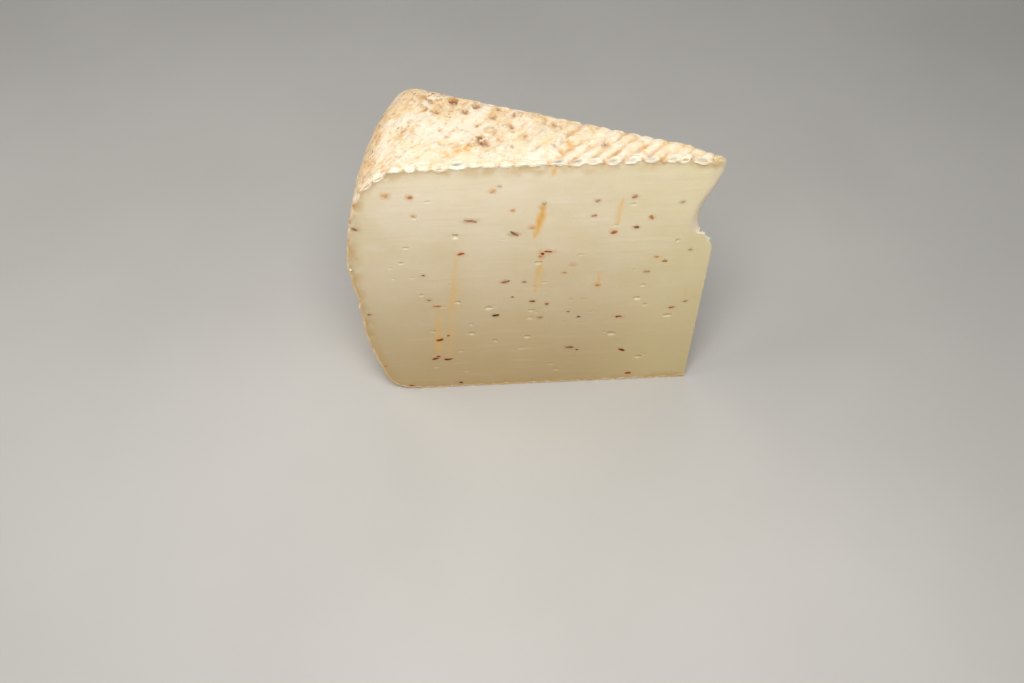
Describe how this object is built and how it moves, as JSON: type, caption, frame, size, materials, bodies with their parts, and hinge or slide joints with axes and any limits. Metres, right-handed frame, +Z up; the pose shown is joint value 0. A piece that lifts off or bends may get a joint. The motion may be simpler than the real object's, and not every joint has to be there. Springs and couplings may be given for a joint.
{
  "type": "chilli tomme cheese wedge",
  "caption": "Narrow wedge of pressed sheep's-milk cheese with chilli flakes: flat cut faces, a bulged rind at the rim, a ridged top and a broken tip.",
  "frame": {"origin": "centre of the bounding box's underside, on the crest of a ridge of the bottom rind, level with the surface that the wedge stands on", "axes": "+Z up, as the wedge stands on its bottom rind; +X from the rim towards the broken tip, along the front cut face; +Y from the front cut face towards the back one"},
  "size_m": [0.0984, 0.0398, 0.085],
  "materials": {
    "paste": "pale ivory pressed cheese, satin and faintly translucent, with small eyes, knife marks and orange chilli streaks",
    "rind": "dry white mould over cream and tan, with brown specks and the ridges of a draining mat",
    "chilli": "dried chilli flakes, red to brown, slightly glossy"
  },
  "bodies": {
    "root": {"cheese_wedge": "paste"}
  },
  "joints": []
}
